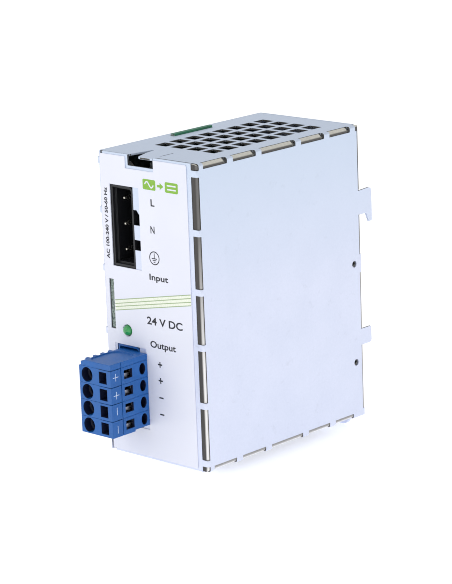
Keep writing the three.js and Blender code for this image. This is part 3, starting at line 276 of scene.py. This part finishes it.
def laminate():
    """Glass-fibre board under green resist, with painted shade on its component side inside the case; its
    front edge shows the weave.
    """
    made = Finish("board_laminate")
    resist = made.mix(made.ramp(made.noise(500, 3), 0, 1), linear(24, 98, 66), linear(44, 128, 92))
    weave = made.noise(1900, 3, 0.7, where=made.stretched((1, 1, 0.7)))
    cut = made.mix(made.ramp(weave, 0, 1, 0.4, 0.6), linear(70, 88, 82), linear(156, 170, 160))
    front = made.ramp(made.facing(1), 1, 0, -0.9, -0.5)
    height = made.height()
    component_side = made.ramp(made.facing(0), 0, 1, 0.5, 0.9)
    # Painted shade: the component side below the case top goes near black.
    painted_shade_inside = made.math("MULTIPLY", component_side, made.ramp(height, 1, 0, 0.0925, 0.0935))
    shaded = made.mix(painted_shade_inside, resist, linear(10, 30, 24))
    made.put(base_color=made.mix(front, shaded, cut))
    made.put(roughness=made.ramp(weave, 0.35, 0.6))
    made.bump(weave, 0.3, 0.00005)
    return made.material


def ferrite_body():
    made = Finish("ferrite")
    grain = made.noise(1500, 4, 0.7)
    made.put(base_color=made.mix(grain, linear(34, 33, 36), linear(62, 60, 62)), roughness=0.6)
    made.bump(grain, 0.4, 0.00008)
    return made.material


def lens():
    made = Finish("green_lens")
    depth = made.noise(500, 2)
    made.put(base_color=made.mix(made.ramp(depth, 0, 1), linear(24, 132, 62), linear(50, 172, 88)))
    made.put(roughness=0.12, coat_weight=0.6, coat_roughness=0.05, specular_ior_level=0.6)
    made.bump(depth, 0.04, 0.00002)
    return made.material


def clear_glass():
    made = Finish("glass_tube")
    smear = made.noise(900, 2)
    made.put(base_color=made.mix(smear, linear(214, 220, 216), linear(236, 240, 238)))
    made.put(roughness=made.ramp(smear, 0.05, 0.15))
    return made.material


galvanised = sheet_metal("galvanised_steel", linear(226, 231, 248), linear(218, 224, 242), 0.5, 0.6)
# Dark finish for sheared edges: partly bare steel, partly painted shade for the dark lines at cuts and
# window ends.
cut_steel_and_painted_shade = sheet_metal("cut_steel_and_painted_shade", linear(128, 126, 124), linear(92, 88, 84), 0.55, 0.6)
# The frame steel carries painted highlight, painted shade and painted reflection.
frame_steel = frame_steel_painted_light()
film = printed_film()
black = plastic("black_plastic", linear(26, 27, 31), 0.42)
blue = plastic("blue_plastic", linear(22, 98, 176), 0.42)
# Painted shade for the walls inside the plug's holes.
blue_painted_shade = plastic("blue_plastic_painted_shade", linear(9, 22, 58), 0.6)
nylon = plastic("white_nylon", linear(228, 225, 214), 0.5)
sleeve = plastic("capacitor_sleeve", linear(30, 44, 74), 0.3)
yellow = plastic("yellow_film_capacitor", linear(214, 176, 66), 0.45)
ceramic = plastic("ceramic", linear(120, 76, 48), 0.6, 1200, 0.3)
insulation = plastic("insulating_film", linear(220, 214, 196), 0.5)
brass = bright_metal("tinned_brass", linear(226, 224, 214), linear(188, 184, 170), 0.25)
spring_steel = bright_metal("spring_steel", linear(196, 198, 204), linear(150, 152, 158), 0.3)
aluminium = bright_metal("aluminium", linear(206, 208, 212), linear(176, 178, 184), 0.35)
copper = wound_wire("copper_winding")
board_green = laminate()
ferrite = ferrite_body()
green_lens = lens()
glass = clear_glass()
dark_ink = ink("dark_ink", linear(34, 35, 42))
green_ink = ink("green_ink", linear(128, 176, 58))
line_ink = ink("line_ink", linear(150, 170, 128))
pale_ink = ink("pale_ink", linear(228, 236, 216))
white_ink = ink("white_ink", linear(206, 218, 236))

# The frame's own pieces first take the finish that the record gives them.
FINISHES = {
    "galvanised_steel": galvanised,
    "frame_steel": frame_steel,
    "printed_film": film,
    "black_plastic": black,
    "blue_plastic": blue,
    "tinned_brass": brass,
    "spring_steel": spring_steel,
    "green_lens": green_lens,
    "board_laminate": board_green,
    "insulating_film": insulation,
    "ferrite": ferrite,
    "copper_winding": copper,
    "white_nylon": nylon,
    "aluminium": aluminium,
    "capacitor_sleeve": sleeve,
    "yellow_film_capacitor": yellow,
    "ceramic": ceramic,
    "glass_tube": glass,
}
for part in frame["record"]["subparts"]:
    mesh = frame["nodes"][part["node"]].data
    mesh.materials.clear()
    mesh.materials.append(FINISHES[part["material_slot"]])
SLOTS = {part["node"]: part["material_slot"] for part in frame["record"]["subparts"]}
BODIES = {node: body for body, facts in frame["record"]["behaviour"]["bodies"].items() for node in facts}


# ---------------------------------------------------------------- making pieces


def closed_mesh(name, work):
    """A mesh made from the drawn faces, all turned outwards."""
    bmesh.ops.recalc_face_normals(work, faces=work.faces)
    mesh = bpy.data.meshes.new(name)
    work.to_mesh(mesh)
    work.free()
    return mesh


def thicken(work, offset):
    """Gives flat faces a thickness, along an offset in metres."""
    made = bmesh.ops.extrude_face_region(work, geom=list(work.faces))
    raised = [item for item in made["geom"] if isinstance(item, bmesh.types.BMVert)]
    bmesh.ops.translate(work, verts=raised, vec=offset)


def piece(name, mesh, body, materials):
    """A new visible piece that moves with a body and takes its finish from a slot."""
    mesh.materials.clear()
    for each in materials:
        mesh.materials.append(each)
    made = bpy.data.objects.new(name, mesh)
    scene.collection.objects.link(made)
    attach(made, body)
    return made


def soften(made, angle=40):
    """Smooth shading that keeps real corners sharp."""
    mesh = made.data
    mesh.shade_smooth()
    mesh.set_sharp_from_angle(angle=math.radians(angle))
    weighted = made.modifiers.new("weighted", "WEIGHTED_NORMAL")
    weighted.keep_sharp = True
    return made


def bevelled(node, width, segments=2, corner=32):
    """The node's own mesh as whole faces, its corners broken by a small bevel inside the node's box."""
    work = bmesh.new()
    work.from_mesh(frame["nodes"][node].data)
    bmesh.ops.remove_doubles(work, verts=work.verts, dist=2e-6)
    bmesh.ops.dissolve_limit(work, angle_limit=math.radians(1.0), verts=work.verts, edges=work.edges)
    bmesh.ops.dissolve_degenerate(work, dist=2e-6, edges=work.edges)
    crowded = {vertex for edge in work.edges if edge.calc_length() < width * 2.2 for vertex in edge.verts}
    sharp = [
        edge
        for edge in work.edges
        if len(edge.link_faces) == 2
        and edge.calc_face_angle(0) > math.radians(corner)
        and not crowded.intersection(edge.verts)
    ]
    bmesh.ops.bevel(
        work, geom=sharp, offset=width, offset_type="OFFSET", segments=segments, profile=0.5,
        affect="EDGES", clamp_overlap=False,
    )
    low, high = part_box(node)
    for vertex in work.verts:
        vertex.co = [min(max(place, start), end) for place, start, end in zip(vertex.co, low, high)]
    return closed_mesh(node + "_finished", work)


def refine(node, width, segments=2, materials=None):
    """Replaces a node with its bevelled copy."""
    mesh = bevelled(node, width, segments)
    made = piece(node + "_finished", mesh, BODIES[node], materials or [FINISHES[SLOTS[node]]])
    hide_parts(node)
    return soften(made)


def lathe(name, profile, centre, axis, sides, body, materials):
    """A turned piece; the profile is (radius, distance along the axis) in millimetres."""
    work = bmesh.new()
    rings = []
    for radius, along in profile:
        if radius == 0:
            rings.append([work.verts.new((0, 0, along * MM))])
            continue
        ring = []
        for step in range(sides):
            turn = math.tau * step / sides
            point = Vector((radius * math.cos(turn), radius * math.sin(turn), along)) * MM
            ring.append(work.verts.new(point))
        rings.append(ring)
    for first, second in zip(rings, rings[1:]):
        for step in range(sides):
            near = [first[step % len(first)], first[(step + 1) % len(first)]]
            far = [second[(step + 1) % len(second)], second[step % len(second)]]
            corners = list(dict.fromkeys(near + far))
            if len(corners) > 2:
                work.faces.new(corners)
    turn = Vector((0, 0, 1)).rotation_difference(Vector(axis)).to_matrix().to_4x4()
    bmesh.ops.transform(work, matrix=Matrix.Translation(centre) @ turn, verts=work.verts)
    return soften(piece(name, closed_mesh(name, work), body, materials))


# ---------------------------------------------------------------- sheet metal

METAL_BEVEL = 0.07 * MM


SMALL_BEVEL = 0.05 * MM
SHEET = 0.6
CASE = (39.3, 69.7, 89.2)
SURFACE_REACH = 0.25  # how far from a sheet surface a face still counts as part of it, in millimetres


def sheared_edges_with_painted_shade(mesh):
    """Gives the sheared edges of sheet metal a dark finish, partly bare cut steel and partly painted shade:
    square faces that lie in no sheet surface.
    """
    for face in mesh.polygons:
        axis = max(range(3), key=lambda each: abs(face.normal[each]))
        place = (face.center[axis] - CORNER[axis]) / MM
        levels = (0, SHEET, CASE[axis] - SHEET, CASE[axis])
        if abs(face.normal[axis]) > 0.99 and min(abs(place - level) for level in levels) > SURFACE_REACH:
            face.material_index = 1


sheared_edges_with_painted_shade(refine("case_tray", METAL_BEVEL, materials=[galvanised, cut_steel_and_painted_shade]).data)
refine("left_cover", METAL_BEVEL)
refine("inner_frame", SMALL_BEVEL)
refine("latch_slide", METAL_BEVEL)
refine("latch_keeper", METAL_BEVEL)
for number in (1, 2):
    refine(f"cover_screw_{number}", SMALL_BEVEL)
    refine(f"keeper_rivet_{number}", SMALL_BEVEL)

# ---------------------------------------------------------------- label and its print

refine("front_label", 0.03 * MM, 1)
PRINT = 0.012
PRINT_LIFT = 0.004


def thick_print(name, work, material, layer=1):
    """Gives flat faces drawn in X and Z the thickness of a layer of ink, on the label."""
    thicken(work, (0, -PRINT * MM * layer, 0))
    return piece(name, closed_mesh(name, work), "case", [material])


def label_point(x, z):
    point = at(x, 0, z)
    point.y = LABEL_FRONT - PRINT_LIFT * MM
    return point


def print_shapes(name, shapes, material, layer=1):
    work = bmesh.new()
    for shape in shapes:
        work.faces.new([work.verts.new(label_point(x, z)) for x, z in shape])
    return thick_print(name, work, material, layer)


def rectangle(x0, x1, z0, z1):
    return [(x0, z0), (x1, z0), (x1, z1), (x0, z1)]


def rounded(x0, x1, z0, z1, radius, steps=5):
    points = []
    for cx, cz, start in ((x1 - radius, z0 + radius, -90), (x1 - radius, z1 - radius, 0),
                          (x0 + radius, z1 - radius, 90), (x0 + radius, z0 + radius, 180)):
        for step in range(steps + 1):
            turn = math.radians(start + 90 * step / steps)
            points.append((cx + radius * math.cos(turn), cz + radius * math.sin(turn)))
    return points


def band(points, width):
    """Quads that follow a line of points, as a pen stroke of one width."""
    sides = []
    for index, (x, z) in enumerate(points):
        x0, z0 = points[max(index - 1, 0)]
        x1, z1 = points[min(index + 1, len(points) - 1)]
        length = math.hypot(x1 - x0, z1 - z0)
        across = (-(z1 - z0) / length * width / 2, (x1 - x0) / length * width / 2)
        sides.append(((x + across[0], z + across[1]), (x - across[0], z - across[1])))
    return [[a[0], b[0], b[1], a[1]] for a, b in zip(sides, sides[1:])]


def lettering(name, words, x_span, z_span, upright=True, weight=0.022):
    """Words in the built-in typeface, fitted to a box on the label."""
    curve = bpy.data.curves.new(name + "_outline", "FONT")
    curve.body = words
    curve.resolution_u = 4
    curve.offset = weight
    drawn = bpy.data.objects.new(name + "_outline", curve)
    scene.collection.objects.link(drawn)
    flat = bpy.data.meshes.new_from_object(drawn.evaluated_get(bpy.context.evaluated_depsgraph_get()))
    bpy.data.objects.remove(drawn)
    bpy.data.curves.remove(curve)
    work = bmesh.new()
    work.from_mesh(flat)
    bpy.data.meshes.remove(flat)
    bmesh.ops.remove_doubles(work, verts=work.verts, dist=1e-5)
    across = [vertex.co.x for vertex in work.verts]
    up = [vertex.co.y for vertex in work.verts]
    (x0, x1), (z0, z1) = x_span, z_span
    for vertex in work.verts:
        u = (vertex.co.x - min(across)) / (max(across) - min(across))
        v = (vertex.co.y - min(up)) / (max(up) - min(up))
        if not upright:
            u, v = 1 - v, u
        vertex.co = label_point(x0 + u * (x1 - x0), z0 + v * (z1 - z0))
    return thick_print(name, work, dark_ink)


lettering("word_input", "Input", (19.35, 26.7), (53.3, 55.65))
lettering("word_output", "Output", (18.5, 28.6), (33.3, 35.9))
lettering("letter_l", "L", (21.1, 22.6), (75.35, 77.4))
lettering("letter_n", "N", (20.6, 22.2), (67.5, 69.6))
lettering("output_rating", "24 V DC", (17.6, 31.6), (40.6, 42.9))
lettering("input_rating", "AC 100-240 V / 50-60 Hz", (2.5, 3.8), (57.9, 78.8), upright=False, weight=0.035)


def sign(name, x, z, plus):
    half, width = 0.85, 0.42
    shapes = [rectangle(x - half, x + half, z - width / 2, z + width / 2)]
    if plus:
        shapes.append(rectangle(x - width / 2, x + width / 2, z + width / 2, z + half))
        shapes.append(rectangle(x - width / 2, x + width / 2, z - half, z - width / 2))
    print_shapes(name, shapes, dark_ink)


for number, (z, plus) in enumerate(((29.2, True), (24.4, True), (19.3, False), (14.3, False)), 1):
    sign(f"polarity_{number}", 22.0, z, plus)


def earth_symbol(x, z, radius):
    """A ring with a stem and three shortening bars."""
    steps = 48
    circle = [
        (x + radius * math.cos(math.tau * step / steps), z + radius * math.sin(math.tau * step / steps))
        for step in range(steps)
    ]
    hollow = 0.85
    inner = [(x + (px - x) * hollow, z + (pz - z) * hollow) for px, pz in circle]
    ring = [
        [circle[step], circle[(step + 1) % steps], inner[(step + 1) % steps], inner[step]]
        for step in range(steps)
    ]
    line = 0.26
    bars = [rectangle(x - half, x + half, z + level - line / 2, z + level + line / 2)
            for half, level in ((1.05, -0.15), (0.7, -0.65), (0.35, -1.15))]
    stem = rectangle(x - line / 2, x + line / 2, z - 0.04, z + radius * 0.72)
    print_shapes("earth_symbol", ring + bars + [stem], dark_ink)


earth_symbol(21.65, 60.4, 2.0)


def converter_mark():
    """The green mark: mains wave, arrow and direct-current bars."""
    z0, z1 = 80.0, 83.0
    middle = (z0 + z1) / 2
    tiles = [rounded(18.3, 23.3, z0, z1, 0.45), rounded(27.0, 32.0, z0, z1, 0.45)]
    arrow = [(23.9, middle - 0.35), (25.0, middle - 0.35), (25.0, middle - 1.0), (26.4, middle),
             (25.0, middle + 1.0), (25.0, middle + 0.35), (23.9, middle + 0.35)]
    print_shapes("converter_mark", tiles + [arrow], green_ink)
    wave = [(19.1 + 3.4 * step / 24, middle + 0.8 * math.sin(math.tau * step / 24)) for step in range(25)]
    levels = ((0.35, 0.75), (-0.75, -0.35))
    bars = [rectangle(27.8, 31.2, middle + low, middle + high) for low, high in levels]
    print_shapes("converter_mark_detail", band(wave, 0.4) + bars, film, layer=2)


converter_mark()

STRIPE_LEFT, STRIPE_RIGHT = 5.0, 35.3
STRIPES = ((45.85, 51.7), (44.75, 50.7), (43.85, 49.6), (42.8, 48.6))


def stripes():
    half = 0.13
    lines = []
    for left, right in STRIPES:
        lines.append([(STRIPE_LEFT, left - half), (STRIPE_RIGHT, right - half),
                      (STRIPE_RIGHT, right + half), (STRIPE_LEFT, left + half)])
    fills = []
    for upper, lower in zip(STRIPES, STRIPES[1:]):
        fills.append([(STRIPE_LEFT, lower[0] + half), (STRIPE_RIGHT, lower[1] + half),
                      (STRIPE_RIGHT, upper[1] - half), (STRIPE_LEFT, upper[0] - half)])
    print_shapes("stripe_lines", lines, line_ink)
    print_shapes("stripe_fill", fills, pale_ink)


stripes()

# ---------------------------------------------------------------- connectors, board and lamp



HEADER_BEVEL = 0.08 * MM
PIN_BEVEL = 0.06 * MM
PLUG_BEVEL = 0.09 * MM


def painted_shade_faces(mesh, box):
    """Gives the walls inside a pole's holes painted shade: a dark blue finish for plastic that little light
    reaches.
    """
    low, high = box
    skin, rib = 0.35 * MM, 0.85 * MM
    for face in mesh.polygons:
        x, y, z = face.center
        within = low.x + rib < x < high.x - skin and low.y + skin < y < tray_low.y - rib
        if within and low.z + skin < z < high.z - skin / 3:
            face.material_index = 1


for node in ("input_header", "output_header"):
    refine(node, HEADER_BEVEL)
for node in [name for name in SLOTS if "_pin_" in name]:
    refine(node, PIN_BEVEL)
refine("circuit_board", 0.04 * MM, 1)
for number in range(1, 5):
    pole = refine(f"plug_pole_{number}", PLUG_BEVEL, materials=[blue, blue_painted_shade])
    painted_shade_faces(pole.data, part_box(f"plug_pole_{number}"))
    refine(f"plug_clamp_{number}", SMALL_BEVEL)
    refine(f"plug_contact_{number}", SMALL_BEVEL)
refine("plug_end_plate", PLUG_BEVEL)


def lamp():
    low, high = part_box("status_lamp")
    centre = Vector(((low.x + high.x) / 2, 0, (low.z + high.z) / 2))
    radius, proud = 1.55, (tray_low.y - low.y) / MM
    back = (high.y - tray_low.y) / MM
    dome = []
    for step in range(13):
        turn = step / 12 * math.pi / 2
        dome.append((radius * math.sin(turn), -proud + radius * (1 - math.cos(turn))))
    profile = dome + [(radius, 1.15), (1.8, 1.2), (1.85, 1.3), (1.85, 1.9), (1.8, 2.0), (radius, 2.0),
                      (radius, back - 0.1), (radius - 0.1, back), (0, back)]
    centre.y = tray_low.y
    made = lathe("status_lamp_lens", profile, centre, (0, 1, 0), 40, "case", [green_lens])
    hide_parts("status_lamp")


lamp()


def spring():
    """Round wire wound in an even helix with closed ends."""
    low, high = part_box("latch_spring")
    wire = 0.22 * MM
    centre_x, centre_y = (low.x + high.x) / 2, (low.y + high.y) / 2
    radius = (high.x - low.x) / 2 - wire
    turns, steps, sides = 8, 24, 8
    work = bmesh.new()
    rings = []
    for step in range(turns * steps + 1):
        share = step / (turns * steps)
        turn = math.tau * turns * share
        rise = low.z + wire + (high.z - low.z - 2 * wire) * share
        outward = Vector((math.cos(turn), math.sin(turn), 0))
        middle = Vector((centre_x, centre_y, rise)) + outward * radius
        ring = []
        for side in range(sides):
            angle = math.tau * side / sides
            offset = outward * math.cos(angle) + Vector((0, 0, math.sin(angle)))
            ring.append(work.verts.new(middle + offset * wire))
        rings.append(ring)
    for first, second in zip(rings, rings[1:]):
        for side in range(sides):
            nxt = (side + 1) % sides
            work.faces.new([first[side], first[nxt], second[nxt], second[side]])
    work.faces.new(rings[0])
    work.faces.new(rings[-1])
    mesh = closed_mesh("latch_spring_wire", work)
    made = soften(piece("latch_spring_wire", mesh, "case", [spring_steel]))
    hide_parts("latch_spring")
    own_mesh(made)


spring()


def plug_marks():
    """White polarity marks printed on the right face of the plug."""
    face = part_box("plug_pole_1")[1].x + 0.002 * MM
    for number, (z, plus) in enumerate(((27.7, True), (22.4, True), (17.7, False), (12.3, False)), 1):
        middle = at(0, -13.4, z)
        half, width, thick = 1.1 * MM, 0.16 * MM, 0.01 * MM
        spans = [((-width / 2, width / 2), (-half, half))] if not plus else [
            ((-width / 2, width / 2), (-half, half)),
            ((-half, -width / 2), (-width / 2, width / 2)),
            ((width / 2, half), (-width / 2, width / 2)),
        ]
        work = bmesh.new()
        for (y0, y1), (z0, z1) in spans:
            corners = [(y0, z0), (y1, z0), (y1, z1), (y0, z1)]
            work.faces.new([work.verts.new((face - thick, middle.y + y, middle.z + z)) for y, z in corners])
        thicken(work, (2 * thick, 0, 0))
        name = f"plug_mark_{number}"
        piece(name, closed_mesh(name, work), "plug", [white_ink])


plug_marks()

# ---------------------------------------------------------------- floor, light and camera

# The floor lies just under the lowest point of the supply, the tail of its latch.
FLOOR_LEVEL = cad_low.z - 0.2 * MM
FLOOR_SIZE = 4.0


def floor():
    work = bmesh.new()
    steps = 8
    points = []
    for row in range(steps + 1):
        for column in range(steps + 1):
            x = (column / steps - 0.5) * FLOOR_SIZE
            y = (row / steps - 0.5) * FLOOR_SIZE
            points.append(work.verts.new((x, y, FLOOR_LEVEL)))
    for row in range(steps):
        for column in range(steps):
            start = row * (steps + 1) + column
            beyond = start + steps + 1
            work.faces.new([points[start], points[start + 1], points[beyond + 1], points[beyond]])
    mesh = bpy.data.meshes.new("floor")
    work.to_mesh(mesh)
    work.free()
    made = Finish("floor_paper")
    tooth = made.noise(400, 3)
    made.put(base_color=made.mix(tooth, (0.93, 0.93, 0.94, 1), (0.96, 0.96, 0.965, 1)), roughness=0.9)
    made.put(emission_color=(1, 1, 1, 1), emission_strength=0.45)
    made.bump(tooth, 0.05, 0.0001)
    mesh.materials.append(made.material)
    laid = bpy.data.objects.new("floor", mesh)
    scene.collection.objects.link(laid)


floor()


def softbox(name, place, aim, width, height, power, colour):
    light = bpy.data.lights.new(name, "AREA")
    light.shape = "RECTANGLE"
    light.size, light.size_y = width, height
    light.energy = power
    light.color = colour
    lamp_object = bpy.data.objects.new(name, light)
    scene.collection.objects.link(lamp_object)
    lamp_object.location = place
    lamp_object.rotation_mode = "QUATERNION"
    lamp_object.rotation_quaternion = (Vector(aim) - Vector(place)).to_track_quat("-Z", "Y")


middle = (cad_low + cad_high) / 2
softbox("key", (-0.5, -1.1, 0.9), middle, 1.2, 1.2, 3.2, (1.0, 0.99, 0.97))
softbox("fill", (1.2, -0.5, 0.6), middle, 1.2, 1.4, 0.8, (0.93, 0.96, 1.0))

world = bpy.data.worlds.new("studio")
scene.world = world
world.use_nodes = True
world.node_tree.nodes["Background"].inputs["Color"].default_value = (0.97, 0.98, 1.0, 1)
world.node_tree.nodes["Background"].inputs["Strength"].default_value = 0.74
scene.view_settings.view_transform = "Standard"
scene.cycles.use_denoising = True
scene.cycles.filter_width = 1.0

CAMERA_AZIMUTH = math.radians(43.195)
CAMERA_ELEVATION = math.radians(14.25)
CAMERA_ROLL = math.radians(2.156)
CAMERA_LENS = 155.4
CAMERA_DISTANCE = 741.01 * MM
CAMERA_AIM = Vector((0.419, 5.170, 49.131)) * MM
CAMERA_SHIFT = (-2.958 * MM, 1.599 * MM)


def camera():
    back = Vector((
        math.sin(CAMERA_AZIMUTH) * math.cos(CAMERA_ELEVATION),
        -math.cos(CAMERA_AZIMUTH) * math.cos(CAMERA_ELEVATION),
        math.sin(CAMERA_ELEVATION),
    ))
    right = (-back).cross(Vector((0, 0, 1))).normalized()
    down = (-back).cross(right)
    across = right * math.cos(CAMERA_ROLL) + down * math.sin(CAMERA_ROLL)
    below = down * math.cos(CAMERA_ROLL) - right * math.sin(CAMERA_ROLL)
    data = bpy.data.cameras.new("camera")
    data.lens = CAMERA_LENS
    data.sensor_width = 36
    data.clip_start, data.clip_end = 0.01, 50
    made = bpy.data.objects.new("camera", data)
    scene.collection.objects.link(made)
    place = CAMERA_AIM + back * CAMERA_DISTANCE + across * CAMERA_SHIFT[0] + below * CAMERA_SHIFT[1]
    turned = Matrix((across, -below, back)).transposed()
    made.matrix_world = Matrix.Translation(place) @ turned.to_4x4()
    scene.camera = made


camera()
